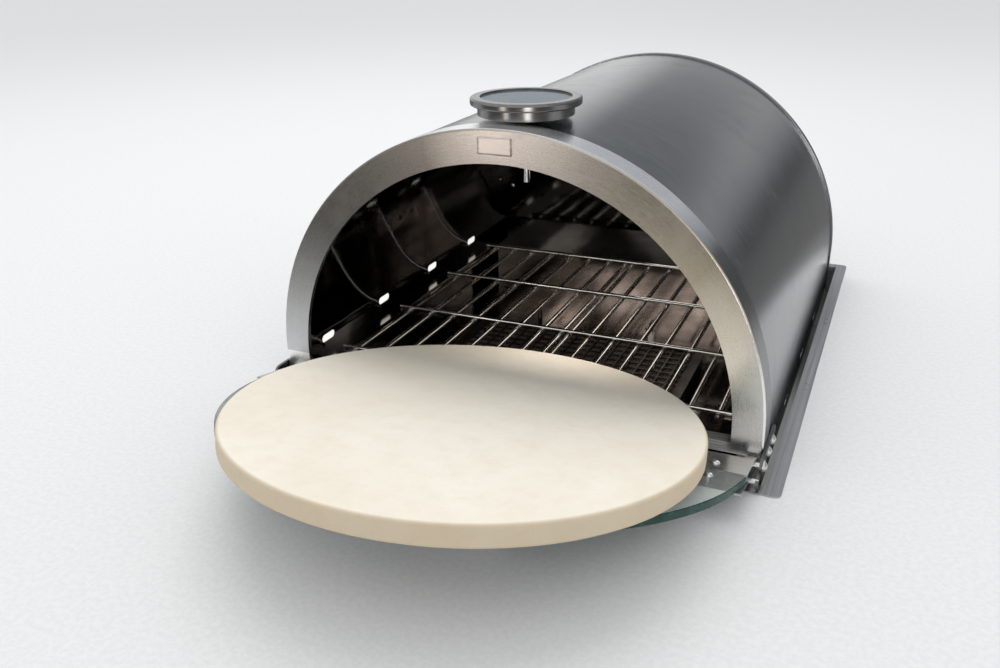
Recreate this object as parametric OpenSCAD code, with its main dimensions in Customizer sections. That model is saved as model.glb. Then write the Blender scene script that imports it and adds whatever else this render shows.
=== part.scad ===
/* [Hood] */
// Outer radius of the arched hood
hood_radius = 205; // [190:1:220]
// Depth of the oven from the front ring to the rear panel
hood_depth = 452; // [400:1:500]
// Height of the arch centre above the foot of the front ring
arch_rise = 18; // [10:1:30]
// Drop of the hood's skirt below the foot of the front ring
skirt_drop = 31; // [20:1:40]
// Thickness of the folded stainless sheet
sheet = 1.2; // [1:0.1:1.5]

/* [Front ring] */
// Width of the ring's flat face
ring_face = 23; // [18:1:28]
// Depth of the ring's outer flange
ring_depth = 24; // [16:1:30]
// Radius of the bend between the ring's face and its flange
bend_radius = 1.8; // [1.4:0.1:3]
// Height of the sill across the bottom of the opening
sill_height = 8; // [6:0.5:10]

/* [Counter tray] */
// Width of the tray over its flange
tray_w = 447; // [440:1:460]
// Length of the tray over its flange
tray_l = 517; // [505:1:540]
// Width of the flange that rests on the counter
flange_w = 9.7; // [8:0.1:14]
// Depth of the tray below the counter
tray_depth = 76; // [70:1:90]
// Height of the base rails under the tray
rail_h = 24; // [22:1:30]

/* [Cooking rack] */
// Diameter of the cross wires
wire_d = 3.6; // [3:0.1:4]
// Diameter of the long rods
rod_d = 4.4; // [4:0.1:5]
// Pitch of the long rods
rod_pitch = 23.5; // [22:0.5:25]
// Height of the cross wires above the foot of the ring
wire_z = 8.1; // [8:0.1:9]

/* [Door] */
// Tilt of the open door above the horizontal, in degrees
door_tilt = 12.2; // [12:0.1:20]
// Radius of the glass
glass_radius = 202; // [190:1:203]
// Thickness of the glass
glass_t = 6; // [5:0.5:6]

/* [Stone] */
// Diameter of the pizza stone
stone_d = 330; // [300:1:335]
// Thickness of the pizza stone
stone_t = 15; // [12:1:15]
// Tilt of the stone where it leans on the door, in degrees
stone_tilt = 8.6; // [8.5:0.1:9]

/* [Thermometer] */
// Diameter of the bezel
bezel_d = 85; // [70:1:90]
// Distance of the thermometer behind the ring's face
gauge_y = 56.6; // [50:0.1:70]

/* [Hidden] */

$fn = 96;
eps = 0.05;
steel = [0.70, 0.71, 0.72];
dark_steel = [0.20, 0.20, 0.21];

// The oven's own frame: y = 0 at the ring's face, z = 0 at the ring's foot.
// The part's frame: origin on the counter's surface at the centre of the cut-out.
ring_face_y = -228;
foot_z = 11.2;

ring_outer = hood_radius + 0.4;
ring_inner = hood_radius - ring_face;
ring_drop = 2;
ring_t = 1.2;
return_depth = 4;
sill_depth = 12;
liner_out = ring_inner + 5;
liner_t = 0.8;
liner_in = liner_out - liner_t;
liner_back = 430;
hood_back = hood_depth - sheet - 0.1;

flange_top = -10;
tray_mid_y = -ring_face_y;
tray_floor_top = flange_top - tray_depth + sheet;
tray_floor_bottom = tray_floor_top - sheet;
wall_x = tray_w / 2 - flange_w;
wall_y = tray_l / 2 - flange_w;
rail_x = 150;
rail_w = 30;
rail_y0 = 40;
rail_y1 = 440;
rail_wall = 2;
base_bolt_y = [80, 400];
flange_hole_r = 1.6;
flange_hole_x = tray_w / 2 - flange_w / 2;
flange_hole_dy = [72, 84];

slot_l = 20;
slot_h = 7;
slot_z = 18.5;
slot_y = [37, 136, 239, 338];
skirt_slot_z = -18;

wire_y = [44, 149, 254, 358];
wire_half = 175;
rod_z = wire_z - (wire_d + rod_d) / 2;
rod_y0 = 38;
rod_y1 = 364;
rod_twin = 8;
rod_count = 7;
support_top = wire_z - wire_d / 2;

floor_z = -44;
burner_w = 230;
burner_y0 = 105;
burner_y1 = 225;
burner_top = -27;
burner_bottom = -74;
pipe_z = -58;
venturi_r = 11;
venturi_end = 395;
inlet_y = 460;
nipple_r = 10.65;
nipple_neck_r = 10.2;
nipple_free = 17;
nipple_collar = 3;

gauge_base = 224.8;
case_d = 74;
case_h = 7.2;
bezel_h = 6;
dial_z = gauge_base + case_h - 1.6;
stem_r = 2.5;
stem_tip = 172;

pivot_y = -10.5;
pin_r = 2.2;
clamp_t = 1.4;
glass_in = 3.6;
clamp_back = 8;
inner_clamp_u = [3, 39];
outer_clamp_u = [-8, 57];
clamp_half = 202;
clamp_screw_x = [-178, -60, 60, 178];
clamp_screw_u = [26, 50];
handle_u = 140;
handle_half = 50;
handle_off = 26;
bracket_x = ring_outer + 0.2;
bracket_t = 2.2;
hinge_bolt_y = [13.7, 32.2];
stop_u = 18;
stop_r = 2;

stone_x = 15.6;
stone_y = -95.7;
stone_top_z = 48;

module place() {
    translate([0, ring_face_y, foot_z]) children();
}

// Draws a flat outline in x and z and extends it along y.
module along_y(y0, y1) {
    translate([0, y1, 0]) rotate([90, 0, 0]) linear_extrude(y1 - y0) children();
}

module arch(r, foot, rise = arch_rise) {
    intersection() {
        translate([0, rise]) circle(r, $fn = 180);
        translate([-r - 1, rise]) square([2 * r + 2, r + 1]);
    }
    translate([-r, foot]) square([2 * r, rise - foot]);
}

module arch_shell(r_out, r_in, foot, y0, y1, rise = arch_rise) {
    along_y(y0, y1) difference() {
        arch(r_out, foot, rise);
        arch(r_in, foot - 1, rise);
    }
}

module block(x0, x1, y0, y1, z0, z1) {
    translate([x0, y0, z0]) cube([x1 - x0, y1 - y0, z1 - z0]);
}

module rod_x(x0, x1, y, z, r) {
    translate([x0, y, z]) rotate([0, 90, 0]) cylinder(h = x1 - x0, r = r);
}

module rod_y(y0, y1, x, z, r) {
    translate([x, y1, z]) rotate([90, 0, 0]) cylinder(h = y1 - y0, r = r);
}

module rod_up(x, y, z0, z1, r) {
    translate([x, y, z0]) cylinder(h = z1 - z0, r = r);
}

// A round-ended slot through a side wall, long along y.
module side_slot(y, z, l, h) {
    reach = hood_radius + 10;
    straight = l - h;
    block(-reach, reach, y - straight / 2, y + straight / 2, z - h / 2, z + h / 2);
    for (end = [-1, 1]) rod_x(-reach, reach, y + end * straight / 2, z, h / 2);
}

module dome(r, h) {
    ball = (r * r + h * h) / (2 * h);
    intersection() {
        translate([0, 0, h - ball]) sphere(ball, $fn = 48);
        cylinder(h = h, r = r + 1);
    }
}

// ---- base ----
module tray_flange() {
    corner = 5;
    translate([0, tray_mid_y, flange_top - sheet]) linear_extrude(sheet) {
        square([tray_w - 2 * corner, tray_l], center = true);
        square([tray_w, tray_l - 2 * corner], center = true);
        for (sx = [-1, 1], sy = [-1, 1])
            translate([sx * (tray_w / 2 - corner), sy * (tray_l / 2 - corner)])
                circle(corner, $fn = 48);
    }
}

module counter_tray() color(steel) place() {
    difference() {
        union() {
            difference() {
                tray_flange();
                translate([-wall_x + sheet, tray_mid_y - wall_y + sheet, flange_top - 2 * sheet])
                    cube([2 * (wall_x - sheet), 2 * (wall_y - sheet), 3 * sheet]);
            }
            difference() {
                translate([-wall_x, tray_mid_y - wall_y, tray_floor_bottom])
                    cube([2 * wall_x, 2 * wall_y, flange_top - tray_floor_bottom - sheet / 2]);
                translate([-wall_x + sheet, tray_mid_y - wall_y + sheet, tray_floor_top])
                    cube([2 * (wall_x - sheet), 2 * (wall_y - sheet), tray_depth + 10]);
            }
        }
        for (sx = [-1, 1]) {
            for (sy = [-1, 1], dy = flange_hole_dy)
                rod_up(sx * flange_hole_x, tray_mid_y + sy * dy,
                    flange_top - 3, flange_top + 1, flange_hole_r);
            for (y = base_bolt_y)
                rod_up(sx * rail_x, y, tray_floor_bottom - 1, tray_floor_top + 1, 3.2);
            for (y = [150:25:350])
                rod_up(sx * 90, y, tray_floor_bottom - 1, tray_floor_top + 1, 5);
        }
        rod_up(0, inlet_y, tray_floor_bottom - 1, tray_floor_top + 1, nipple_neck_r + 0.3);
    }
}

module base_rail(side) color(dark_steel) place() {
    difference() {
        block(side * rail_x - rail_w / 2, side * rail_x + rail_w / 2, rail_y0, rail_y1,
            tray_floor_bottom - rail_h, tray_floor_bottom);
        block(side * rail_x - rail_w / 2 + rail_wall, side * rail_x + rail_w / 2 - rail_wall,
            rail_y0 - 1, rail_y1 + 1,
            tray_floor_bottom - rail_h + rail_wall, tray_floor_bottom - rail_wall);
        for (y = base_bolt_y)
            rod_up(side * rail_x, y, tray_floor_bottom - 4, tray_floor_bottom + 1, 3.2);
    }
}

module base_bolts() color(steel) place() {
    for (sx = [-1, 1], y = base_bolt_y) {
        rod_up(sx * rail_x, y, tray_floor_bottom - 10, tray_floor_top + 1, 3);
        translate([sx * rail_x, y, tray_floor_top]) cylinder(h = 4, r = 5.8, $fn = 6);
        translate([sx * rail_x, y, tray_floor_bottom - rail_wall - 5])
            cylinder(h = 5, r = 5.8, $fn = 6);
    }
}

// ---- shell ----
module hood_shell() color(steel) place() {
    difference() {
        union() {
            arch_shell(hood_radius, hood_radius - sheet, -skirt_drop, ring_depth + 0.1, hood_back);
            for (sx = [-1, 1])
                block(sx * (hood_radius - sheet / 2) - sheet / 2,
                    sx * (hood_radius - sheet / 2) + sheet / 2,
                    sill_depth, ring_depth + 1, -skirt_drop, -0.3);
        }
        for (y = slot_y) side_slot(y, skirt_slot_z, slot_l + 2, slot_h - 2);
        rod_up(0, gauge_y, hood_radius, hood_radius + 40, stem_r + 0.6);
        hinge_bolt_holes();
    }
}

module hinge_bolt_holes() {
    for (sx = [-1, 1], y = hinge_bolt_y)
        rod_x(sx * hood_radius - 4, sx * hood_radius + 4, y, -1, 2.6);
}

// Section of the front ring before its mouth is cut: x is the radius and y is the depth.
module ring_section() {
    bend_x = ring_outer - bend_radius;
    translate([ring_inner - 6, 0]) square([bend_x - ring_inner + 6, ring_t]);
    translate([ring_outer - ring_t, bend_radius]) square([ring_t, ring_depth - bend_radius]);
    intersection() {
        translate([bend_x, bend_radius]) difference() {
            circle(bend_radius, $fn = 48);
            circle(bend_radius - ring_t, $fn = 48);
        }
        translate([bend_x, 0]) square(bend_radius);
    }
}

module front_ring() color([0.74, 0.72, 0.69]) place() {
    difference() {
        union() {
            intersection() {
                translate([0, 0, arch_rise]) rotate([-90, 0, 0])
                    rotate_extrude($fn = 180) ring_section();
                block(-hood_radius - 2, hood_radius + 2, -1, ring_depth + 1,
                    arch_rise, arch_rise + hood_radius + 2);
            }
            linear_extrude(arch_rise) ring_section();
            mirror([1, 0, 0]) linear_extrude(arch_rise) ring_section();
        }
        along_y(-1, ring_t + 1) arch(ring_inner, -1, arch_rise - ring_drop);
        hinge_bolt_holes();
    }
    arch_shell(ring_inner + ring_t, ring_inner, 0, ring_t / 2, return_depth,
        arch_rise - ring_drop);
    block(-ring_inner - eps, ring_inner + eps, 0, ring_t, 0, sill_height);
    block(-ring_inner - eps, ring_inner + eps, 0, sill_depth, sill_height - ring_t, sill_height);
}

module blank_badge() color([0.74, 0.72, 0.69]) place() {
    badge_w = 27;
    badge_h = 12.5;
    corner = 1.2;
    translate([-1.4, 0, arch_rise + (ring_outer + ring_inner - ring_drop) / 2]) along_y(-0.6, 0) {
        square([badge_w - 2 * corner, badge_h], center = true);
        square([badge_w, badge_h - 2 * corner], center = true);
        for (sx = [-1, 1], sz = [-1, 1])
            translate([sx * (badge_w / 2 - corner), sz * (badge_h / 2 - corner)])
                circle(corner, $fn = 32);
    }
}

module rear_panel() color(steel) place() {
    hem = 1.5;
    difference() {
        union() {
            along_y(hood_depth - sheet, hood_depth) arch(hood_radius + 0.1 + hem, -skirt_drop);
            arch_shell(hood_radius + 0.1 + hem, hood_radius + 0.1, -skirt_drop,
                hood_depth - 8, hood_depth - sheet / 2);
        }
        for (x = [-120:24:120])
            translate([x, hood_depth - 5, 0]) {
                block(-3, 3, 0, 8, -14, 6);
                for (z = [-14, 6]) rod_y(0, 8, 0, z, 3);
            }
        for (a = [20:20:160])
            rod_y(hood_depth - 5, hood_depth + 5, 196 * cos(a), arch_rise + 196 * sin(a), 2.1);
    }
}

module rear_rivets() color(steel) place() {
    for (a = [20:20:160])
        translate([196 * cos(a), hood_depth, arch_rise + 196 * sin(a)]) {
            rotate([90, 0, 0]) translate([0, 0, -eps]) cylinder(h = 6, r = 2);
            rotate([-90, 0, 0]) dome(3.6, 1.6);
        }
}

module inner_liner() color(dark_steel) place() {
    difference() {
        union() {
            arch_shell(liner_out, liner_in, tray_floor_top, 1.6, liner_back);
            for (sx = [-1, 1])
                block(min(sx * liner_in, sx * (liner_out + 9)),
                    max(sx * liner_in, sx * (liner_out + 9)),
                    4, liner_back, tray_floor_top, tray_floor_top + liner_t);
        }
        for (y = slot_y) side_slot(y, slot_z, slot_l, slot_h);
        rod_up(0, gauge_y, liner_in, liner_out + 40, stem_r + 0.6);
    }
}

module rear_liner() color(dark_steel) place() {
    difference() {
        along_y(liner_back, liner_back + liner_t) arch(liner_out + 6, tray_floor_top);
        rod_y(liner_back - 1, liner_back + 2, 0, pipe_z, 8);
        for (a = [15:25:165])
            rod_y(liner_back - 1, liner_back + 2,
                178 * cos(a), arch_rise + 178 * sin(a), 2.1);
    }
}

module liner_screws() color(steel) place() {
    for (a = [15:25:165])
        translate([178 * cos(a), liner_back, arch_rise + 178 * sin(a)]) {
            rotate([-90, 0, 0]) translate([0, 0, -eps]) cylinder(h = 8, r = 2);
            rotate([90, 0, 0]) dome(3.4, 1.8);
        }
}

module insulation_blanket() color([0.9, 0.89, 0.85]) place() {
    difference() {
        arch_shell(hood_radius - sheet - 0.4, liner_out + 0.4, 0, 14, liner_back - 0.4);
        rod_up(0, gauge_y, liner_in, liner_out + 40, stem_r + 1);
        block(-hood_radius, hood_radius, 0, 40, -1, 8);
    }
}

module rear_insulation() color([0.9, 0.89, 0.85]) place() {
    difference() {
        along_y(liner_back + liner_t + 0.2, hood_depth - sheet - 7) arch(liner_out, 0);
        for (a = [15:25:165])
            rod_y(liner_back, liner_back + 12, 178 * cos(a), arch_rise + 178 * sin(a), 2.6);
    }
}

module lower_front_panel() color(dark_steel) place() {
    difference() {
        union() {
            block(-liner_in + 0.2, liner_in - 0.2, 2, 2 + sheet, tray_floor_top, -0.2);
            block(-ring_inner + 0.3, ring_inner - 0.3, 2, 2 + sheet, -1,
                sill_height - ring_t - 0.1);
        }
        for (x = [-150:30:150]) rod_y(0, 5, x, -60, 6);
    }
}

module chamber_floor() color([0.45, 0.38, 0.33]) place() {
    difference() {
        block(-liner_in + 0.2, liner_in - 0.2, 3.6, liner_back - 0.2, floor_z, floor_z + 1);
        block(-burner_w / 2 - 0.5, burner_w / 2 + 0.5, burner_y0 - 0.5, burner_y1 + 0.5,
            floor_z - 1, floor_z + 2);
        for (sx = [-1, 1], y = [30:30:390]) rod_up(sx * 150, y, floor_z - 1, floor_z + 2, 4);
    }
}

module rear_shelf() color([0.45, 0.40, 0.36]) place() {
    shelf_z = 4;
    block(-168, 168, 374, liner_back - 0.2, shelf_z, shelf_z + 1);
    block(-168, 168, 374, 375, floor_z + 1.1, shelf_z + eps);
}

// ---- cooking rack ----
module rack_support(side) color([0.5, 0.5, 0.5]) place() {
    x_wall = liner_in - 0.1;
    mirror([side < 0 ? 1 : 0, 0, 0]) {
        block(x_wall - 16, x_wall, 20, 372, support_top - sheet, support_top);
        block(x_wall - sheet, x_wall, 20, 372, support_top - 14, support_top - sheet / 2);
    }
}

module rack_cross_wires() color([0.8, 0.8, 0.78]) place() {
    for (y = wire_y) rod_x(-wire_half, wire_half, y, wire_z, wire_d / 2);
}

module rack_rods() color([0.6, 0.6, 0.58]) place() {
    for (i = [-rod_count:rod_count]) {
        if (i == 0) {
            for (side = [-1, 1]) rod_y(rod_y0, rod_y1, side * rod_twin / 2, rod_z, rod_d / 2);
        } else {
            rod_y(rod_y0, rod_y1, i * rod_pitch, rod_z, rod_d / 2);
        }
    }
}

// ---- burner and gas train ----
module burner_housing() color([0.35, 0.33, 0.31]) place() {
    wall = 1.2;
    difference() {
        block(-burner_w / 2, burner_w / 2, burner_y0, burner_y1, burner_bottom, burner_top);
        block(-burner_w / 2 + wall, burner_w / 2 - wall, burner_y0 + wall, burner_y1 - wall,
            burner_bottom + wall, burner_top + 1);
        rod_y(burner_y1 - 5, burner_y1 + 5, 0, pipe_z, venturi_r + 0.05);
    }
    for (sy = [burner_y0 + wall, burner_y1 - wall - 3])
        block(-burner_w / 2 + wall - eps, burner_w / 2 - wall + eps, sy - eps, sy + 3 + eps,
            -43, -41.8);
    block(-1.5, 1.5, burner_y0 + wall - eps, burner_y1 - wall + eps, -43, burner_top - 1.6);
}

module burner_tiles() color([0.42, 0.30, 0.26]) place() {
    for (side = [-1, 1]) {
        x0 = side < 0 ? -burner_w / 2 + 1.4 : 1.7;
        block(x0, x0 + burner_w / 2 - 3.1, burner_y0 + 1.4, burner_y1 - 1.4, -41.7, -29);
    }
}

module burner_mesh() color([0.16, 0.14, 0.13]) place() {
    cell = 11;
    bar = 1.6;
    difference() {
        block(-burner_w / 2 - 3, burner_w / 2 + 3, burner_y0 - 3, burner_y1 + 3,
            burner_top + 0.1, burner_top + 1.3);
        for (ix = [-10:9], iy = [0:9])
            block(ix * cell + bar / 2, (ix + 1) * cell - bar / 2,
                burner_y0 + 5 + iy * cell + bar / 2, burner_y0 + 5 + (iy + 1) * cell - bar / 2,
                burner_top - 1, burner_top + 2);
    }
}

module burner_legs() color(dark_steel) place() {
    for (sx = [-1, 1], y = [burner_y0 + 15, burner_y1 - 15])
        rod_up(sx * (burner_w / 2 - 20), y, tray_floor_top, burner_bottom, 5);
}

module venturi_tube() color([0.55, 0.55, 0.55]) place() {
    difference() {
        union() {
            rod_y(burner_y1 - 1.2, venturi_end, 0, pipe_z, venturi_r);
            translate([0, venturi_end, pipe_z]) rotate([-90, 0, 0])
                cylinder(h = 8, r1 = venturi_r, r2 = venturi_r + 1.5);
        }
        rod_y(burner_y1 - 2, venturi_end + 9, 0, pipe_z, venturi_r - 1.2);
        for (z = [-1, 1])
            block(-venturi_r - 2, venturi_r + 2, 340, 370, pipe_z + z * 5 - 3, pipe_z + z * 5 + 3);
    }
}

module gas_orifice() color([0.72, 0.58, 0.32]) place() {
    difference() {
        union() {
            translate([0, 424, pipe_z]) rotate([90, 0, 0]) cylinder(h = 10, r = 7, $fn = 6);
            rod_y(406, 415, 0, pipe_z, 4);
        }
        rod_y(405, 425, 0, pipe_z, 0.8);
    }
}

module gas_pipe() color([0.6, 0.6, 0.6]) place() {
    rod_y(424, inlet_y - 13, 0, pipe_z, 6);
}

module inlet_elbow() color([0.72, 0.58, 0.32]) place() {
    block(-13, 13, inlet_y - 13, inlet_y + 13, pipe_z - 13, pipe_z + 13);
}

module inlet_nipple() color([0.72, 0.58, 0.32]) place() {
    difference() {
        union() {
            rod_up(0, inlet_y, tray_floor_bottom - nipple_free, tray_floor_bottom - 1, nipple_r);
            rod_up(0, inlet_y, tray_floor_bottom - 1.5, pipe_z - 13, nipple_neck_r);
            translate([0, inlet_y, tray_floor_bottom - nipple_collar])
                cylinder(h = nipple_collar, r = 15, $fn = 6);
        }
        rod_up(0, inlet_y, tray_floor_bottom - nipple_free - 1, pipe_z - 13 - 3,
            nipple_neck_r - 2.6);
    }
}

module inlet_locknut() color([0.72, 0.58, 0.32]) place() {
    translate([0, inlet_y, tray_floor_top]) difference() {
        cylinder(h = 6, r = 16, $fn = 6);
        translate([0, 0, -1]) cylinder(h = 8, r = nipple_neck_r + 0.05);
    }
}

module igniter_rod() color(steel) place() {
    rod_up(60, burner_y1 + 14, -20, -8, 1.2);
    rod_y(burner_y1 - 8, burner_y1 + 14, 60, -8, 1.2);
}

module igniter_insulator() color([0.93, 0.91, 0.86]) place() {
    rod_up(60, burner_y1 + 14, floor_z + 1, -20, 3.5);
}

module thermocouple() color([0.6, 0.5, 0.4]) place() {
    rod_up(-60, burner_y1 + 14, floor_z + 1, -12, 2.5);
}

// ---- thermometer ----
module thermometer_case() color(dark_steel) place() translate([0, gauge_y, gauge_base]) {
    difference() {
        cylinder(h = case_h, d = case_d);
        translate([0, 0, 1.6]) cylinder(h = case_h, d = case_d - 4);
        translate([0, 0, -1]) cylinder(h = 5, r = stem_r);
    }
    difference() {
        translate([0, 0, -1.4]) cylinder(h = 1.5, d = 20);
        translate([0, 0, -2]) cylinder(h = 5, r = stem_r);
    }
}

module thermometer_bezel() color([0.35, 0.36, 0.37]) place()
translate([0, gauge_y, gauge_base + case_h]) {
    difference() {
        rotate_extrude() difference() {
            union() {
                square([bezel_d / 2 - 2, bezel_h]);
                translate([0, 1.4]) square([bezel_d / 2, bezel_h - 3.4]);
                translate([bezel_d / 2 - 2, bezel_h - 2]) circle(2, $fn = 40);
                translate([bezel_d / 2 - 1.4, 1.4]) circle(1.4, $fn = 40);
            }
            translate([-1, -1]) square([1 + case_d / 2 - 2, bezel_h + 2]);
            translate([-1, bezel_h - 2.5]) square([1 + bezel_d / 2 - 5, 1.2]);
        }
    }
}

module thermometer_lens() color([0.85, 0.93, 0.97, 0.35]) place()
translate([0, gauge_y, gauge_base + case_h + bezel_h - 2.45])
    cylinder(h = 1.1, d = bezel_d - 10.4);

module thermometer_dial() color([0.82, 0.88, 0.93]) place()
translate([0, gauge_y, dial_z]) difference() {
    cylinder(h = 0.8, d = case_d - 4.4);
    translate([0, 0, -1]) cylinder(h = 3, r = 1.3);
}

module thermometer_needle() color([0.75, 0.12, 0.08]) place()
translate([0, gauge_y, dial_z + 1.1]) {
    difference() {
        union() {
            cylinder(h = 0.8, r = 3.2);
            translate([0, 0, 0.2]) linear_extrude(0.5)
                polygon([[-8, -1.4], [26, -0.35], [26, 0.35], [-8, 1.4]]);
        }
        translate([0, 0, -1]) cylinder(h = 3, r = 1.05);
    }
}

module thermometer_stem() color([0.75, 0.76, 0.77]) place() {
    rod_up(0, gauge_y, stem_tip, gauge_base + 1.6, stem_r - 0.02);
    rod_up(0, gauge_y, gauge_base + 1.5, dial_z + 2.2, 1);
}

module thermometer_nut() color(steel) place() {
    translate([0, gauge_y, 197.4]) difference() {
        cylinder(h = 6, r = 8, $fn = 6);
        translate([0, 0, -1]) cylinder(h = 8, r = stem_r);
    }
}

// ---- hinge ----
module hinge_bracket(side) color(steel) place() mirror([side < 0 ? 1 : 0, 0, 0]) {
    half_h = 7;
    difference() {
        union() {
            block(bracket_x, bracket_x + bracket_t, pivot_y, 40, -half_h, half_h);
            rod_x(bracket_x, bracket_x + bracket_t, pivot_y, 0, half_h);
            rod_x(bracket_x, bracket_x + bracket_t, 40, 0, half_h);
            block(bracket_x, bracket_x + bracket_t, stop_y(), pivot_y, -half_h, 0);
            rod_x(bracket_x, bracket_x + bracket_t, stop_y(), -half_h / 2, half_h / 2);
        }
        rod_x(bracket_x - 1, bracket_x + bracket_t + 1, pivot_y, 0, pin_r + 0.05);
        rod_x(bracket_x - 1, bracket_x + bracket_t + 1, stop_y(), stop_z(), stop_r + 0.05);
        for (y = hinge_bolt_y)
            rod_x(bracket_x - 1, bracket_x + bracket_t + 1, y, -1, 2.6);
    }
}

function stop_w() = glass_t - glass_in + clamp_t + stop_r + 0.03;
function stop_y() = pivot_y - stop_u * cos(door_tilt) - stop_w() * sin(door_tilt);
function stop_z() = stop_u * sin(door_tilt) - stop_w() * cos(door_tilt);

module hinge_pin(side) color([0.8, 0.8, 0.8]) place() mirror([side < 0 ? 1 : 0, 0, 0]) {
    rod_x(196.5, bracket_x + bracket_t + eps, pivot_y, 0, pin_r);
    rod_x(bracket_x + bracket_t, bracket_x + bracket_t + 1, pivot_y, 0, 5.4);
    translate([bracket_x + bracket_t + 1, pivot_y, 0]) rotate([0, 90, 0]) dome(3.8, 2);
}

module hinge_bolts() color([0.8, 0.8, 0.8]) place() {
    for (sx = [0, 1]) mirror([sx, 0, 0])
        for (y = hinge_bolt_y) {
            rod_x(hood_radius - 6, bracket_x + bracket_t + eps, y, -1, 2.5);
            translate([bracket_x + bracket_t, y, -1]) rotate([0, 90, 0]) dome(4.4, 2.6);
        }
}

module stop_pins() color([0.8, 0.8, 0.8]) place() {
    for (sx = [0, 1]) mirror([sx, 0, 0])
        rod_x(198, bracket_x + bracket_t, stop_y(), stop_z(), stop_r);
}

// ---- door: drawn closed, with z up the glass and -y outwards, then laid open ----
module door_pose() {
    place() translate([0, pivot_y, 0]) rotate([90 - door_tilt, 0, 0]) children();
}

module rod_out(x, u, w0, w1, r) {
    rod_y(-w1, -w0, x, u, r);
}

module door_glass() color([0.55, 0.75, 0.68, 0.4]) door_pose() {
    glass_foot = 2;
    notch_u = 9;
    corner_x = 193;
    difference() {
        along_y(-(glass_t - glass_in), glass_in) {
            intersection() {
                translate([0, arch_rise]) circle(glass_radius, $fn = 180);
                translate([-glass_radius - 1, arch_rise])
                    square([2 * glass_radius + 2, glass_radius + 1]);
            }
            translate([-glass_radius, notch_u])
                square([2 * glass_radius, arch_rise - notch_u]);
            translate([-corner_x, glass_foot]) square([2 * corner_x, notch_u - glass_foot + eps]);
        }
        for (x = clamp_screw_x, u = clamp_screw_u) rod_out(x, u, -10, 10, 2.6);
        for (x = [-handle_half, handle_half]) rod_out(x, handle_u, -10, 10, 2.6);
    }
}

// A plate across the door's foot, between two places up the glass, with its screw holes.
module clamp_plate(w0, w1, u_range) {
    difference() {
        block(-clamp_half, clamp_half, -w1, -w0, u_range[0], u_range[1]);
        for (x = clamp_screw_x, u = clamp_screw_u)
            if (u < u_range[1]) rod_out(x, u, -10, 10, 2.2);
    }
}

module door_inner_clamp() color(steel) door_pose()
    clamp_plate(-glass_in - clamp_t, -glass_in, inner_clamp_u);

module door_outer_clamp() color(steel) door_pose() {
    outer = glass_t - glass_in;
    clamp_plate(outer, outer + clamp_t, outer_clamp_u);
    block(-clamp_half, clamp_half, -outer - eps, 0, -clamp_back, -clamp_back + clamp_t);
}

module door_end_block(side) color(steel) door_pose() mirror([side < 0 ? 1 : 0, 0, 0]) {
    difference() {
        block(194, clamp_half, -(glass_t - glass_in), glass_in,
            -clamp_back + clamp_t, clamp_back);
        rod_x(190, clamp_half + 5, 0, 0, pin_r + 0.05);
    }
}

module door_clamp_screws() color([0.85, 0.85, 0.85]) door_pose() {
    outer = glass_t - glass_in + clamp_t;
    for (x = clamp_screw_x, u = clamp_screw_u) {
        head = u < inner_clamp_u[1] ? glass_in + clamp_t : glass_in;
        rod_out(x, u, -head - eps, outer, 2);
        translate([x, head, u]) rotate([-90, 0, 0]) dome(3.6, 2.2);
        translate([x, -outer, u]) rotate([90, 0, 0]) cylinder(h = 2.4, r = 3.8, $fn = 6);
    }
}

module door_handle_bar() color([0.75, 0.75, 0.75]) door_pose() {
    bar_w = glass_t - glass_in + handle_off;
    bar_half = handle_half + 22;
    rod_x(-bar_half, bar_half, -bar_w, handle_u, 6);
}

module door_handle_posts() color([0.75, 0.75, 0.75]) door_pose() {
    outer = glass_t - glass_in;
    for (x = [-handle_half, handle_half])
        rod_out(x, handle_u, outer, outer + handle_off - 5.9, 5);
}

module door_handle_screws() color([0.85, 0.85, 0.85]) door_pose() {
    for (x = [-handle_half, handle_half]) {
        rod_out(x, handle_u, -glass_in - eps, glass_t - glass_in, 2.4);
        translate([x, glass_in, handle_u]) rotate([-90, 0, 0]) dome(4.2, 2);
    }
}

module pizza_stone() color([0.93, 0.89, 0.80]) place()
translate([stone_x, stone_y, stone_top_z]) rotate([-stone_tilt, 0, 0]) {
    edge = 1.5;
    rotate_extrude($fn = 180) {
        translate([0, -stone_t]) square([stone_d / 2 - edge, stone_t]);
        translate([0, -stone_t + edge]) square([stone_d / 2, stone_t - 2 * edge]);
        for (y = [-edge, -stone_t + edge])
            translate([stone_d / 2 - edge, y]) circle(edge, $fn = 32);
    }
}

counter_tray();
base_rail(-1);  // base_rail_left
base_rail(1);  // base_rail_right
base_bolts();
hood_shell();
front_ring();
blank_badge();
rear_panel();
rear_rivets();
inner_liner();
rear_liner();
liner_screws();
insulation_blanket();
rear_insulation();
lower_front_panel();
chamber_floor();
rear_shelf();
rack_support(-1);  // rack_support_left
rack_support(1);  // rack_support_right
rack_cross_wires();
rack_rods();
burner_housing();
burner_tiles();
burner_mesh();
burner_legs();
venturi_tube();
gas_orifice();
gas_pipe();
inlet_elbow();
inlet_nipple();
inlet_locknut();
igniter_rod();
igniter_insulator();
thermocouple();
thermometer_case();
thermometer_bezel();
thermometer_lens();
thermometer_dial();
thermometer_needle();
thermometer_stem();
thermometer_nut();
hinge_bracket(-1);  // hinge_bracket_left
hinge_bracket(1);  // hinge_bracket_right
hinge_pin(-1);  // hinge_pin_left
hinge_pin(1);  // hinge_pin_right
hinge_bolts();
stop_pins();
door_glass();
door_inner_clamp();
door_outer_clamp();
door_end_block(-1);  // door_end_block_left
door_end_block(1);  // door_end_block_right
door_clamp_screws();
door_handle_bar();
door_handle_posts();
door_handle_screws();
pizza_stone();
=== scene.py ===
import math

import bmesh
import bpy
from mathutils import Matrix, Vector, noise


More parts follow.
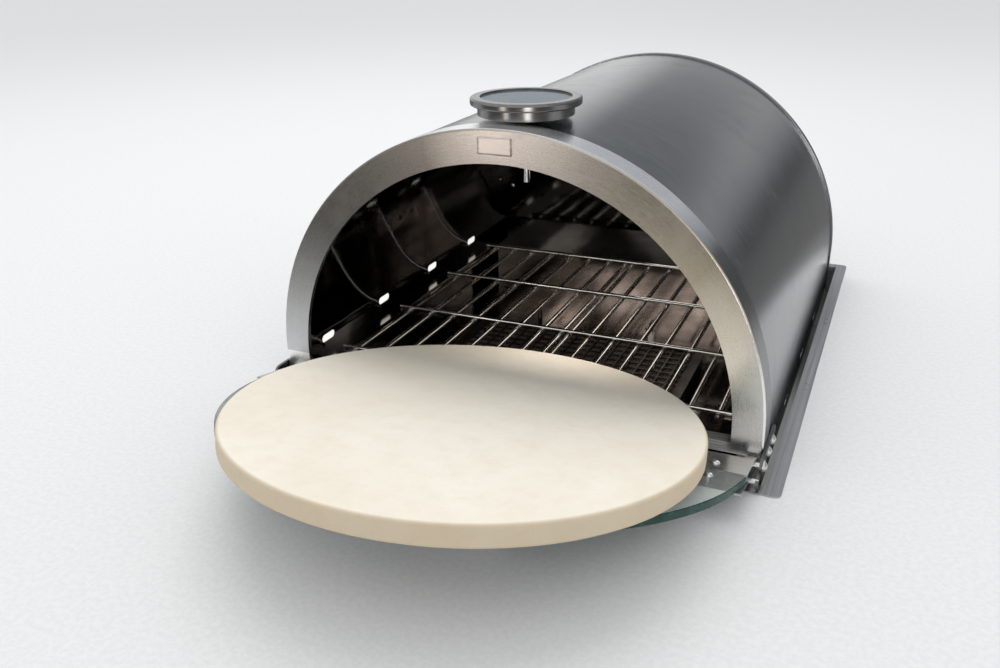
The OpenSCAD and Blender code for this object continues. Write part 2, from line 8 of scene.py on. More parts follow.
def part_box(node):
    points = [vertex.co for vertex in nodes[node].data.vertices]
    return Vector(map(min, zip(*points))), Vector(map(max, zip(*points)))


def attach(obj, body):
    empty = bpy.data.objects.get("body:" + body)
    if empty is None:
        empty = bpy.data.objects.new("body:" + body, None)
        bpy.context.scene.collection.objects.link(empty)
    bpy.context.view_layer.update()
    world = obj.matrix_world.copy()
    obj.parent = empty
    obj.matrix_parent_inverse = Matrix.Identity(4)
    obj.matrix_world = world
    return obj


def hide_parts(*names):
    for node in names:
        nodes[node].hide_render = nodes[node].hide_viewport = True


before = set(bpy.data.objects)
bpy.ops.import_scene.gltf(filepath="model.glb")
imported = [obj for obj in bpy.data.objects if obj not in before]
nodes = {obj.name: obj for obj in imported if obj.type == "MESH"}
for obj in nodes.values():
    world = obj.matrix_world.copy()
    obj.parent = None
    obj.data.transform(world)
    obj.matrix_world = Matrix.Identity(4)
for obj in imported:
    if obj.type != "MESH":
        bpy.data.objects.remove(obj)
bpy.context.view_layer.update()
print("frame loaded:", len(nodes), "nodes")

# the oven's own datum: ring face and ring foot, and the arch centre above them
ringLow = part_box("front_ring")[0]
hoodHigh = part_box("hood_shell")[1]
ringFace = ringLow.y
ringFoot = ringLow.z
hoodRadius = hoodHigh.x
archCentre = hoodHigh.z - hoodRadius


class Wire:
    def __init__(self, shader, socket):
        self.shader = shader
        self.socket = socket

    def math(self, operation, *others):
        values = dict(enumerate((self, *others)))
        return self.shader.add("ShaderNodeMath", {"operation": operation}, values)

    def __add__(self, other):
        return self.math("ADD", other)

    def __sub__(self, other):
        return self.math("SUBTRACT", other)

    def __rsub__(self, other):
        return self.shader.add("ShaderNodeMath", {"operation": "SUBTRACT"}, {0: other, 1: self})

    def __mul__(self, other):
        return self.math("MULTIPLY", other)

    def __truediv__(self, other):
        return self.math("DIVIDE", other)

    __radd__ = __add__
    __rmul__ = __mul__


class Shader:
    def __init__(self, name, **fixed):
        self.material = bpy.data.materials.new(name)
        self.material.use_nodes = True
        self.tree = self.material.node_tree
        self.tree.nodes.clear()
        self.out = self.tree.nodes.new("ShaderNodeOutputMaterial")
        self.skin = self.tree.nodes.new("ShaderNodeBsdfPrincipled")
        self.tree.links.new(self.skin.outputs[0], self.out.inputs["Surface"])
        for key, value in fixed.items():
            self.skin.inputs[key.replace("_", " ")].default_value = value

    @classmethod
    def onTree(cls, tree):
        shader = cls.__new__(cls)
        shader.tree = tree
        tree.nodes.clear()
        return shader

    def add(self, kind, settings=None, values=None, out=0):
        made = self.tree.nodes.new(kind)
        for key, value in (settings or {}).items():
            if key == "stops":
                ramp = made.color_ramp
                while len(ramp.elements) < len(value):
                    ramp.elements.new(0.5)
                for stop, (place, colour) in zip(ramp.elements, value):
                    stop.position = place
                    stop.color = colour if len(colour) == 4 else (*colour, 1)
            else:
                setattr(made, key, value)
        for key, value in (values or {}).items():
            if isinstance(value, Wire):
                self.tree.links.new(value.socket, made.inputs[key])
            else:
                made.inputs[key].default_value = value
        return Wire(self, made.outputs[out])

    def feed(self, **wires):
        for key, wire in wires.items():
            self.tree.links.new(wire.socket, self.skin.inputs[key.replace("_", " ")])

    def place(self):
        return self.add("ShaderNodeTexCoord", out="Object")

    def axes(self, vector):
        return [self.add("ShaderNodeSeparateXYZ", None, {0: vector}, axis) for axis in "XYZ"]

    def vector(self, x, y, z):
        return self.add("ShaderNodeCombineXYZ", None, {0: x, 1: y, 2: z})

    def length(self, across, along):
        return (across * across + along * along).math("SQRT")

    def noise(self, vector, scale, detail=3.0, roughness=0.5):
        values = {"Vector": vector, "Scale": scale, "Detail": detail, "Roughness": roughness}
        return self.add("ShaderNodeTexNoise", None, values)

    def ramp(self, wire, *stops):
        return self.add("ShaderNodeValToRGB", {"stops": stops}, {0: wire})

    def spread(self, wire, low, high, fromLow=0.0, fromHigh=1.0):
        values = {0: wire, 1: fromLow, 2: fromHigh, 3: low, 4: high}
        return self.add("ShaderNodeMapRange", {"clamp": True}, values)

    def blend(self, factor, first, second, mode="MIX"):
        settings = {"data_type": "RGBA", "blend_type": mode}
        return self.add("ShaderNodeMix", settings, {0: factor, 6: first, 7: second}, 2)

    def bump(self, height, distance, strength):
        values = {"Strength": strength, "Distance": distance, "Height": height}
        self.feed(Normal=self.add("ShaderNodeBump", None, values))


def rgb(r, g, b):
    return (r, g, b, 1.0)


def grey(level):
    return (level, level, level)


# brushed stainless; "round" grain runs round the arch, others run along an axis
def brushedSteel(name, look):
    shader = Shader(name, Metallic=1.0)
    place = shader.place()
    x, y, z = shader.axes(place)
    if look["grain"] == "round":
        height = z - archCentre
        angle = height.math("ARCTAN2", x)
        reach = shader.length(x, height)
        along = shader.vector(angle * look["streak"], y * look["fine"], reach * look["fine"])
    else:
        factors = [look["fine"]] * 3
        factors["xyz".index(look["grain"])] = look["streak"]
        along = shader.vector(x * factors[0], y * factors[1], z * factors[2])
    hair = shader.noise(along, 1.0, 4.0, 0.65)
    cloud = shader.noise(place, look.get("cloudScale", 7.0), 4.0, 0.55)
    smudge = shader.noise(place, 26.0, 6.0, 0.7)
    tone = shader.blend(shader.spread(cloud, 0, 1, 0.35, 0.65), look["dark"], look["light"])
    worn = shader.ramp(hair, (0.28, grey(look.get("wear", 0.86))), (0.70, grey(1.0)))
    shader.feed(Base_Color=shader.blend(1.0, tone, worn, "MULTIPLY"))
    low, high = look["roughness"]
    rough = shader.spread(hair, low, high, 0.25, 0.75)
    marks = shader.spread(smudge, 0.0, look.get("smudge", 0.05), 0.52, 0.72)
    shader.feed(Roughness=rough + marks)
    shader.bump(hair, 0.00002, look["strength"])
    return shader.material


# the front ring: turned grain, and a painted reflection that changes round the arch on its face and
# turned-back edge.
# The ramps paint, as fixed colour, what the polished steel mirrors outdoors: painted reflection, not
# a finish of the steel
def ringSteel(name, look):
    shader = Shader(name, Metallic=1.0)
    place = shader.place()
    x, y, z = shader.axes(place)
    height = z - archCentre
    angle = height.math("ARCTAN2", x)
    reach = shader.length(x, height)
    drift = shader.noise(place, look["driftScale"], 4.0, 0.6)
    around = angle / math.pi + (drift - 0.5) * look["drift"]
    grain = shader.vector(angle * look["streak"], y * look["fine"], reach * look["fine"])
    hair = shader.noise(grain, 1.0, 4.0, 0.65)
    level = shader.vector(x * look["streak"] * 4.0, y * look["fine"], z * look["fine"])
    sillLow, sillHigh = look["sillTop"]
    sill = shader.spread(z, 1.0, 0.0, ringFoot + sillLow, ringFoot + sillHigh)
    hair = hair * (1 - sill) + shader.noise(level, 1.0, 4.0, 0.65) * sill
    band = shader.noise(shader.vector(angle * 2.0, y * 120.0, reach * 160.0), 1.0, 3.0, 0.6)
    # painted reflection: this ramp and the one for the turned-back edge paint what the polished steel
    # mirrors round the arch
    face = shader.ramp(around, *look["face"])
    # painted highlight: across the mouth the sill is made paler and less metallic, standing in for
    # the bright line of light along it
    sillHighlightSpan = shader.spread(x.math("ABSOLUTE"), 1.0, 0.0, *look["sillHalf"])
    face = shader.blend(sill * sillHighlightSpan, face, look["sill"])
    flange = shader.ramp(around, *look["flange"])
    bendStart, bendEnd = look["bend"]
    onFlange = shader.spread(y, 0.0, 1.0, ringFace + bendStart, ringFace + bendEnd)
    tone = shader.blend(onFlange, face, flange)
    worn = shader.ramp(hair * 0.6 + band * 0.4, (0.32, grey(0.93)), (0.66, grey(1.0)))
    shader.feed(Base_Color=shader.blend(1.0, tone, worn, "MULTIPLY"))
    shader.feed(Metallic=1 - sill * sillHighlightSpan * 0.6)
    low, high = look["roughness"]
    smudge = shader.noise(place, 26.0, 6.0, 0.7)
    shader.feed(Roughness=shader.spread(hair, low, high, 0.25, 0.75)
                + shader.spread(smudge, 0.0, 0.09, 0.52, 0.72))
    shader.bump(hair, 0.00002, look["strength"])
    return shader.material


hoodLook = {
    "grain": "round", "streak": 7.0, "fine": 850.0, "roughness": (0.15, 0.26),
    "dark": rgb(0.255, 0.27, 0.286), "light": rgb(0.30, 0.312, 0.326),
    "smudge": 0.06, "wear": 0.78, "strength": 0.16,
}
ringLook = {
    "streak": 12.0, "fine": 1500.0, "roughness": (0.24, 0.32), "strength": 0.035,
    # sill: the pale colour of the painted highlight on the sill
    "sill": rgb(0.80, 0.80, 0.79), "sillTop": (0.0081, 0.0087), "sillHalf": (0.176, 0.183),
    "bend": (0.0006, 0.0016), "driftScale": 11.0, "drift": 0.07,
    # the face ramp and the ramp after it are painted reflection round the arch
    "face": (
        (0.0, (1.0, 1.0, 0.99)), (0.07, (0.90, 0.89, 0.86)), (0.20, (0.40, 0.365, 0.31)),
        (0.33, (0.45, 0.42, 0.365)), (0.42, (0.58, 0.545, 0.51)), (0.50, (0.49, 0.456, 0.432)),
        (0.54, (0.39, 0.363, 0.34)), (0.59, (0.22, 0.207, 0.19)), (0.65, (0.22, 0.21, 0.195)),
        (0.78, (0.22, 0.215, 0.20)), (0.88, (0.33, 0.33, 0.32)), (1.0, (0.64, 0.645, 0.65)),
    ),
    "flange": (
        (0.0, (0.30, 0.30, 0.30)), (0.10, (0.17, 0.172, 0.176)), (0.21, (0.15, 0.153, 0.16)),
        (0.25, (0.52, 0.56, 0.60)), (0.29, (0.97, 0.98, 1.0)), (0.55, (0.97, 0.98, 1.0)),
        (0.60, (0.72, 0.76, 0.80)), (0.75, (0.55, 0.57, 0.60)), (1.0, (0.50, 0.50, 0.50)),
    ),
}
trayLook = {
    "grain": "y", "streak": 5.0, "fine": 500.0, "roughness": (0.30, 0.46), "wear": 0.62,
    "dark": rgb(0.52, 0.52, 0.525), "light": rgb(0.62, 0.62, 0.625), "strength": 0.1,
}
# painted shade: the hinge brackets get a dark steel tone because they sit in shadow
bracketShadeLook = {
    "grain": "y", "streak": 12.0, "fine": 900.0, "roughness": (0.22, 0.36),
    "dark": rgb(0.13, 0.13, 0.135), "light": rgb(0.20, 0.20, 0.205), "strength": 0.15,
}
clampLook = {
    "grain": "x", "streak": 14.0, "fine": 1500.0, "roughness": (0.22, 0.36),
    "dark": rgb(0.42, 0.42, 0.42), "light": rgb(0.54, 0.54, 0.535), "strength": 0.2,
}
baffleLook = {
    "grain": "x", "streak": 10.0, "fine": 700.0, "roughness": (0.07, 0.16),
    "dark": rgb(0.32, 0.275, 0.245), "light": rgb(0.76, 0.68, 0.635), "strength": 0.015,
    "cloudScale": 14.0,
}
fastenerLook = {
    "grain": "x", "streak": 60.0, "fine": 500.0, "roughness": (0.14, 0.26),
    "dark": rgb(0.66, 0.66, 0.66), "light": rgb(0.80, 0.80, 0.79), "strength": 0.1,
}


# dark polished lining, with a slow waviness that bends what it mirrors
def polishedLiner(name, look):
    shader = Shader(name, Metallic=1.0)
    place = shader.place()
    film = shader.noise(place, look["filmScale"], 5.0, 0.6)
    dust = shader.noise(place, 90.0, 4.0, 0.6)
    tone = shader.blend(shader.spread(film, 0, 1, 0.35, 0.7), look["dark"], look["light"])
    shader.feed(Base_Color=tone)
    low, high = look["roughness"]
    shader.feed(Roughness=shader.spread(film, low, high, 0.3, 0.7)
                + shader.spread(dust, 0.0, 0.05, 0.5, 0.75))
    wave = shader.noise(place, look["waveScale"], 2.0, 0.4)
    shader.bump(wave, look["waveDepth"], 0.5)
    return shader.material


linerLook = {
    "dark": rgb(0.056, 0.057, 0.057), "light": rgb(0.105, 0.105, 0.102),
    "roughness": (0.04, 0.10), "filmScale": 11.0, "waveScale": 16.0, "waveDepth": 0.0009,
}


# drawn wire, finely specked and tinted brown by heat in places
def drawnWire(name, look):
    shader = Shader(name, Metallic=1.0)
    place = shader.place()
    heat = shader.noise(place, 17.0, 3.0, 0.6)
    speck = shader.noise(place, 420.0, 3.0, 0.6)
    tone = shader.blend(shader.spread(heat, 0, 1, 0.4, 0.68), look["clean"], look["tinted"])
    shade = shader.spread(speck, 0.82, 1.0, 0.35, 0.6)
    dull = shader.add("ShaderNodeCombineColor", None, {0: shade, 1: shade, 2: shade})
    shader.feed(Base_Color=shader.blend(1.0, tone, dull, "MULTIPLY"))
    low, high = look["roughness"]
    shader.feed(Roughness=shader.spread(speck, low, high, 0.3, 0.7))
    shader.bump(speck, 0.0000006, 0.1)
    return shader.material


supportLook = {
    "grain": "y", "streak": 8.0, "fine": 600.0, "roughness": (0.10, 0.2),
    "dark": rgb(0.26, 0.23, 0.21), "light": rgb(0.40, 0.36, 0.33), "strength": 0.1,
}
crossWireLook = {
    "clean": rgb(0.95, 0.945, 0.93), "tinted": rgb(0.84, 0.80, 0.75), "roughness": (0.12, 0.22),
}
rodLook = {
    "clean": rgb(0.80, 0.77, 0.72), "tinted": rgb(0.62, 0.54, 0.475), "roughness": (0.18, 0.28),
}


# cordierite: cream, finely speckled, with pores and a few darker grains, and a rim and side painted
# darker and tan as painted shade
def bakingStone(name, look, centre, radius, tilt):
    shader = Shader(name, Specular_IOR_Level=0.25)
    place = shader.place()
    x, y, z = shader.axes(place)
    fromX = x - centre.x
    up = (y - centre.y) * math.cos(tilt) - (z - centre.z) * math.sin(tilt)
    reach = shader.length(fromX, up)
    rim = shader.spread(reach, 0.0, 1.0, radius - 0.0024, radius - 0.0006)
    broad = shader.noise(place, 9.0, 3.0, 0.5)
    mottle = shader.noise(place, 60.0, 5.0, 0.65)
    grain = shader.noise(place, 900.0, 2.0, 0.6)
    pores = shader.add("ShaderNodeTexVoronoi", None, {"Vector": place, "Scale": 650.0})
    tone = shader.blend(shader.spread(broad, 0, 1, 0.35, 0.65), look["warm"], look["pale"])
    tone = shader.blend(shader.spread(mottle, 0, 0.35, 0.45, 0.75), tone, look["shadow"])
    tone = shader.blend(shader.spread(grain, 0, 0.30, 0.62, 0.76), tone, look["grain"])
    tone = shader.blend(shader.spread(pores, 0.35, 0, 0.05, 0.16), tone, look["pore"])
    # painted shade: the eased rim and the side are multiplied by the darker, tan rim colour
    tone = shader.blend(rim, tone, shader.blend(1.0, tone, look["rim"], "MULTIPLY"))
    shader.feed(Base_Color=tone)
    shader.feed(Roughness=shader.spread(mottle, 0.72, 0.9, 0.3, 0.7))
    relief = mottle * 0.35 + grain * 0.4 + shader.spread(pores, 0.0, 0.3, 0.03, 0.2)
    shader.bump(relief, 0.00022, 0.5)
    return shader.material


stoneLook = {
    "pale": rgb(0.84, 0.795, 0.70), "warm": rgb(0.80, 0.745, 0.635),
    "shadow": rgb(0.70, 0.63, 0.50), "grain": rgb(0.60, 0.50, 0.37),
    # rim: the colour of the painted shade on the rim and side
    "pore": rgb(0.52, 0.44, 0.33), "rim": rgb(0.77, 0.69, 0.585),
}


# clear glass: a see-through body, a gloss that grows at grazing angles, and a faint pale film; on the
# door glass the film is a smeared haze whose pale colour is also painted light
def clearGlass(name, look):
    shader = Shader(name, Roughness=look["roughness"], IOR=1.5)
    shader.skin.inputs["Base Color"].default_value = look["gloss"]
    through = shader.add("ShaderNodeBsdfTransparent", None, {0: look["through"]})
    rim = shader.add("ShaderNodeFresnel", None, {"IOR": 1.5})
    smear = shader.noise(shader.place(), 34.0, 5.0, 0.65)
    film = shader.spread(smear, *look["film"], 0.4, 0.75)
    factor = (rim + film).math("MINIMUM", 1.0)
    mixed = shader.add("ShaderNodeMixShader", None,
                       {0: factor, 1: through, 2: Wire(shader, shader.skin.outputs[0])})
    shader.tree.links.new(mixed.socket, shader.out.inputs["Surface"])
    return shader.material


# painted light: the pale gloss colour and the film lighten the door glass, standing in for the bright
# counter seen through it
doorGlassLook = {
    "roughness": 0.05, "gloss": rgb(0.84, 0.88, 0.87), "through": rgb(0.965, 0.985, 0.978),
    "film": (0.06, 0.11),
}
lensLook = {
    "roughness": 0.03, "gloss": rgb(0.20, 0.25, 0.29), "through": rgb(0.95, 0.97, 0.98),
    "film": (0.01, 0.04),
}


# ground edge of the glass, green because the light runs a long way through it
def glassEdge(name):
    shader = Shader(name, Roughness=0.22, IOR=1.5, Specular_IOR_Level=0.3)
    place = shader.place()
    ripple = shader.noise(place, 80.0, 4.0, 0.6)
    tone = shader.blend(shader.spread(ripple, 0, 1, 0.35, 0.65),
                        rgb(0.006, 0.036, 0.029), rgb(0.018, 0.068, 0.056))
    shader.feed(Base_Color=tone)
    shader.feed(Roughness=shader.spread(ripple, 0.14, 0.34, 0.3, 0.7))
    shader.bump(shader.noise(place, 500.0, 3.0), 0.000008, 0.3)
    return shader.material


# fibre, powder coat, enamel, ceramic, brass and burner steel share this recipe
def grained(name, look):
    shader = Shader(name, Metallic=look.get("metallic", 0.0))
    place = shader.place()
    patch = shader.noise(place, look["patchScale"], 4.0, 0.6)
    fine = shader.noise(place, look["fineScale"], 4.0, 0.65)
    tone = shader.blend(shader.spread(patch, 0, 1, 0.35, 0.68), look["first"], look["second"])
    shader.feed(Base_Color=tone)
    low, high = look["roughness"]
    shader.feed(Roughness=shader.spread(fine, low, high, 0.3, 0.7))
    shader.bump(fine, look["depth"], 0.5)
    if "glow" in look:
        shader.skin.inputs["Emission Color"].default_value = look["first"]
        shader.skin.inputs["Emission Strength"].default_value = look["glow"]
    return shader.material


railLook = {
    "first": rgb(0.030, 0.030, 0.032), "second": rgb(0.055, 0.055, 0.058),
    "patchScale": 20.0, "fineScale": 900.0, "roughness": (0.45, 0.6), "depth": 0.00006,
}
# the glow is there so that the fibre shows white through the slots
fibreLook = {
    "first": rgb(0.92, 0.91, 0.88), "second": rgb(0.80, 0.78, 0.73),
    "patchScale": 60.0, "fineScale": 700.0, "roughness": (0.85, 0.98), "depth": 0.0006,
    "glow": 0.9,
}
brassLook = {
    "first": rgb(0.68, 0.50, 0.22), "second": rgb(0.52, 0.36, 0.15), "metallic": 1.0,
    "patchScale": 50.0, "fineScale": 400.0, "roughness": (0.2, 0.36), "depth": 0.00004,
}
aluminaLook = {
    "first": rgb(0.88, 0.86, 0.80), "second": rgb(0.78, 0.75, 0.68),
    "patchScale": 90.0, "fineScale": 500.0, "roughness": (0.25, 0.4), "depth": 0.00003,
}
burnerLook = {
    "first": rgb(0.085, 0.075, 0.068), "second": rgb(0.17, 0.14, 0.12), "metallic": 1.0,
    "patchScale": 30.0, "fineScale": 380.0, "roughness": (0.35, 0.6), "depth": 0.00012,
}
needleLook = {
    "first": rgb(0.55, 0.05, 0.03), "second": rgb(0.48, 0.04, 0.03),
    "patchScale": 60.0, "fineScale": 500.0, "roughness": (0.3, 0.4), "depth": 0.00001,
}


# fired tile drilled with rows of flame ports
def burnerTile(name):
    pitch = 0.0032
    shader = Shader(name, Roughness=0.85)
    place = shader.place()
    x, y = shader.axes(place)[:2]
    across = (x / pitch).math("FRACT") - 0.5
    down = (y / pitch).math("FRACT") - 0.5
    port = shader.spread(shader.length(across, down), 1.0, 0.0, 0.22, 0.32)
    scorch = shader.noise(place, 28.0, 4.0, 0.6)
    tone = shader.blend(shader.spread(scorch, 0, 1, 0.35, 0.65),
                        rgb(0.085, 0.072, 0.062), rgb(0.15, 0.122, 0.10))
    # painted shade: the ports are painted near-black for the depth of each hole
    shader.feed(Base_Color=shader.blend(port, tone, rgb(0.02, 0.016, 0.014)))
    shader.feed(Roughness=shader.spread(scorch, 0.7, 0.92))
    shader.bump(1 - port, 0.0012, 0.8)
    return shader.material


# polished gauge metal with a faint turned grain about its own centre
def gaugeChrome(name, centre):
    shader = Shader(name, Metallic=1.0)
    place = shader.place()
    x, y, z = shader.axes(place)
    fromX = x - centre.x
    fromY = y - centre.y
    reach = shader.length(fromX, fromY)
    turned = shader.noise(shader.vector(reach * 1800.0, z * 1800.0, 0.0), 1.0, 2.0)
    smudge = shader.noise(place, 45.0, 5.0, 0.65)
    tone = shader.blend(shader.spread(smudge, 0, 1, 0.35, 0.7),
                        rgb(0.16, 0.16, 0.164), rgb(0.245, 0.242, 0.238))
    shader.feed(Base_Color=tone)
    shader.feed(Roughness=shader.spread(turned, 0.17, 0.27, 0.3, 0.7)
                + shader.spread(smudge, 0.0, 0.06, 0.5, 0.75))
    shader.bump(turned, 0.00001, 0.2)
    return shader.material


# pale dial with a ring of ticks, a longer tick at every fifth, and a red end zone
def gaugeDial(name, centre):
    dial = {"rim": 0.0335, "shortIn": 0.0300, "longIn": 0.0275, "zoneOut": 0.0262,
            "zoneIn": 0.0242, "ticks": 60, "opening": 0.6, "warmFrom": -0.6, "hotFrom": 1.2}
    shader = Shader(name, Roughness=0.45)
    place = shader.place()
    x, y = shader.axes(place)[:2]
    fromX = x - centre.x
    fromY = y - centre.y
    reach = shader.length(fromX, fromY)
    angle = fromX.math("ARCTAN2", fromY * -1.0)
    turn = angle / math.tau
    shown = angle.math("ABSOLUTE").math("LESS_THAN", math.pi - dial["opening"])
    short = ((turn * dial["ticks"]).math("FRACT") - 0.5).math("ABSOLUTE").math("LESS_THAN", 0.11)
    long = ((turn * dial["ticks"] / 5).math("FRACT") - 0.5).math("ABSOLUTE")
    long = long.math("LESS_THAN", 0.035)
    withinRim = reach.math("LESS_THAN", dial["rim"])
    marks = (short * reach.math("GREATER_THAN", dial["shortIn"])
             + long * reach.math("GREATER_THAN", dial["longIn"])) * withinRim
    marks = (marks * shown).math("MINIMUM", 1.0)
    band = reach.math("GREATER_THAN", dial["zoneIn"]) * reach.math("LESS_THAN", dial["zoneOut"])
    hot = band * angle.math("GREATER_THAN", dial["hotFrom"]) * shown
    warm = (band * angle.math("LESS_THAN", dial["hotFrom"])
            * angle.math("GREATER_THAN", dial["warmFrom"]))
    paper = shader.noise(place, 300.0, 3.0)
    tone = shader.blend(shader.spread(paper, 0, 1, 0.3, 0.7),
                        rgb(0.34, 0.42, 0.48), rgb(0.39, 0.47, 0.525))
    tone = shader.blend(warm * 0.75, tone, rgb(0.28, 0.42, 0.52))
    tone = shader.blend(hot * 0.85, tone, rgb(0.55, 0.12, 0.08))
    tone = shader.blend(marks * 0.9, tone, rgb(0.05, 0.06, 0.07))
    shader.feed(Base_Color=tone)
    shader.feed(Roughness=shader.spread(paper, 0.35, 0.5))
    return shader.material


def finishFrame():
    hood = brushedSteel("hoodSteel", hoodLook)
    ring = ringSteel("ringSteel", ringLook)
    tray = brushedSteel("traySteel", trayLook)
    clamp = brushedSteel("clampSteel", clampLook)
    baffle = brushedSteel("baffleSteel", baffleLook)
    fastener = brushedSteel("fastenerSteel", fastenerLook)
    liner = polishedLiner("linerSteel", linerLook)
    bright = drawnWire("brightWire", crossWireLook)
    brown = drawnWire("rodWire", rodLook)
    burner = grained("burnerSteel", burnerLook)
    brass = grained("inletBrass", brassLook)
    low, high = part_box("thermometer_bezel")
    gaugeCentre = (low + high) / 2
    finishes = {
        hood: ["hood_shell", "rear_panel"],
        ring: ["front_ring"],
        badgeSteel("badgeSteel", *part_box("blank_badge")): ["blank_badge"],
        tray: ["counter_tray"],
        clamp: ["door_inner_clamp", "door_outer_clamp", "door_end_block_left",
                "door_end_block_right"],
        baffle: ["chamber_floor", "rear_shelf"],
        fastener: ["base_bolts", "rear_rivets", "liner_screws", "thermometer_nut",
                   "hinge_pin_left", "hinge_pin_right", "hinge_bolts", "stop_pins",
                   "door_clamp_screws", "door_handle_screws"],
        liner: ["inner_liner", "rear_liner", "lower_front_panel"],
        bright: ["rack_cross_wires", "gas_pipe", "thermometer_stem", "door_handle_bar",
                 "door_handle_posts", "igniter_rod", "thermocouple"],
        brown: ["rack_rods"],
        brushedSteel("supportSteel", supportLook): ["rack_support_left", "rack_support_right"],
        brushedSteel("bracketShadedSteel", bracketShadeLook): ["hinge_bracket_left", "hinge_bracket_right"],
        burner: ["burner_housing", "burner_mesh", "burner_legs", "venturi_tube"],
        brass: ["gas_orifice", "inlet_elbow", "inlet_nipple", "inlet_locknut"],
        burnerTile("burnerTile"): ["burner_tiles"],
        grained("railCoat", railLook): ["base_rail_left", "base_rail_right"],
        grained("ceramicFibre", fibreLook): ["insulation_blanket", "rear_insulation"],
        grained("whiteAlumina", aluminaLook): ["igniter_insulator"],
        grained("needleEnamel", needleLook): ["thermometer_needle"],
        gaugeChrome("gaugeChrome", gaugeCentre): ["thermometer_case", "thermometer_bezel"],
        gaugeDial("gaugeDial", gaugeCentre): ["thermometer_dial"],
        clearGlass("gaugeLens", lensLook): ["thermometer_lens"],
    }
    for material, names in finishes.items():
        for name in names:
            mesh = nodes[name].data
            mesh.materials.clear()
            mesh.materials.append(material)
    print("finishes on", sum(len(names) for names in finishes.values()), "nodes")


def keep(name, mesh, materials, body, smooth=True):
    piece = bpy.data.objects.new(name, mesh)
    bpy.context.scene.collection.objects.link(piece)
    for material in materials:
        mesh.materials.append(material)
    if smooth:
        for face in mesh.polygons:
            face.use_smooth = True
    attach(piece, body)
    return piece


def meshOf(name, build):
    shape = bmesh.new()
    build(shape)
    bmesh.ops.recalc_face_normals(shape, faces=shape.faces)
    mesh = bpy.data.meshes.new(name)
    shape.to_mesh(mesh)
    shape.free()
    return mesh


# the stone: a lathe-turned disc with eased rims, very slightly uneven all over
def makeStone():
    stone = {"diameter": 0.330, "thickness": 0.015, "tilt": 8.6, "around": 256, "rings": 40,
             "ease": 0.0024, "uneven": 0.00018}
    low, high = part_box("pizza_stone")
    radius = stone["diameter"] / 2
    middle = (low + high) / 2

    def profile():
        points = []
        ease = stone["ease"]
        half = stone["thickness"] / 2
        for i in range(stone["rings"]):
            points.append(((radius - ease) * i / stone["rings"], half))
        for i in range(9):
            turn = math.pi / 2 * i / 8
            points.append((radius - ease + ease * math.sin(turn),
                           half - ease + ease * math.cos(turn)))
        for i in range(1, 6):
            points.append((radius, (half - ease) * (1 - i / 3)))
        for i in range(9):
            turn = math.pi / 2 * i / 8
            points.append((radius - ease + ease * math.cos(turn),
                           -half + ease - ease * math.sin(turn)))
        for i in range(stone["rings"] - 1, -1, -1):
            points.append(((radius - ease) * i / stone["rings"], -half))
        return points

    def build(shape):
        loops = []
        for reach, height in profile():
            if reach == 0:
                loops.append([shape.verts.new((0, 0, height))])
                continue
            loop = []
            for i in range(stone["around"]):
                turn = math.tau * i / stone["around"]
                loop.append(shape.verts.new((reach * math.cos(turn), reach * math.sin(turn), height)))
            loops.append(loop)
        for first, second in zip(loops, loops[1:]):
            count = max(len(first), len(second))
            for i in range(count):
                j = (i + 1) % count
                if len(first) == 1:
                    shape.faces.new((first[0], second[i], second[j]))
                elif len(second) == 1:
                    shape.faces.new((first[i], second[0], first[j]))
                else:
                    shape.faces.new((first[i], second[i], second[j], first[j]))
        for vert in shape.verts:
            drift = noise.noise(vert.co * 34) + 0.5 * noise.noise(vert.co * 140)
            outward = Vector((vert.co.x / radius, vert.co.y / radius, vert.co.z * 60)).normalized()
            vert.co -= outward * stone["uneven"] * (0.8 + drift)
        turned = Matrix.Translation(middle) @ Matrix.Rotation(-math.radians(stone["tilt"]), 4, "X")
        bmesh.ops.transform(shape, matrix=turned, verts=shape.verts)

    piece = keep("bakingStone", meshOf("bakingStone", build),
                 [bakingStone("cordierite", stoneLook, middle, radius,
                              math.radians(stone["tilt"]))], "stone")
    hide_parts("pizza_stone")
    print("stone made:", len(piece.data.vertices), "points")


# the door glass, with clear faces and green ground edges
def makeGlass():
    glass = {"radius": 0.202, "rise": 0.018, "foot": 0.002, "notch": 0.009, "notchHalf": 0.193,
             "inner": 0.0036, "outer": 0.0024, "chamfer": 0.0005, "steps": 140, "tilt": 12.2,
             "pivot": Vector((0, ringFace - 0.0105, ringFoot))}

    def outline(inset):
        half = glass["radius"] - inset
        points = [(-glass["notchHalf"] + inset, glass["foot"] + inset),
                  (glass["notchHalf"] - inset, glass["foot"] + inset),
                  (glass["notchHalf"] - inset, glass["notch"] + inset),
                  (half, glass["notch"] + inset)]
        for i in range(glass["steps"] + 1):
            turn = math.pi * i / glass["steps"]
            points.append((half * math.cos(turn), glass["rise"] + half * math.sin(turn)))
        points.append((-half, glass["notch"] + inset))
        points.append((-glass["notchHalf"] + inset, glass["notch"] + inset))
        return points

    def build(shape):
        chamfer = glass["chamfer"]
        levels = [(chamfer, glass["inner"]), (0, glass["inner"] - chamfer),
                  (0, -glass["outer"] + chamfer), (chamfer, -glass["outer"])]
        loops = [[shape.verts.new((x, y, z)) for x, z in outline(inset)] for inset, y in levels]
        count = len(loops[0])
        for first, second in zip(loops, loops[1:]):
            for i in range(count):
                j = (i + 1) % count
                side = shape.faces.new((first[i], first[j], second[j], second[i]))
                side.material_index = 1
        shape.faces.new(loops[0])
        shape.faces.new(list(reversed(loops[-1])))
        laid = Matrix.Translation(glass["pivot"])
        laid = laid @ Matrix.Rotation(math.radians(90 - glass["tilt"]), 4, "X")
        bmesh.ops.transform(shape, matrix=laid, verts=shape.verts)

    materials = [clearGlass("temperedGlass", doorGlassLook), glassEdge("glassEdge")]
    piece = keep("doorGlass", meshOf("doorGlass", build), materials, "door", False)
    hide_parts("door_glass")
    print("door glass made")


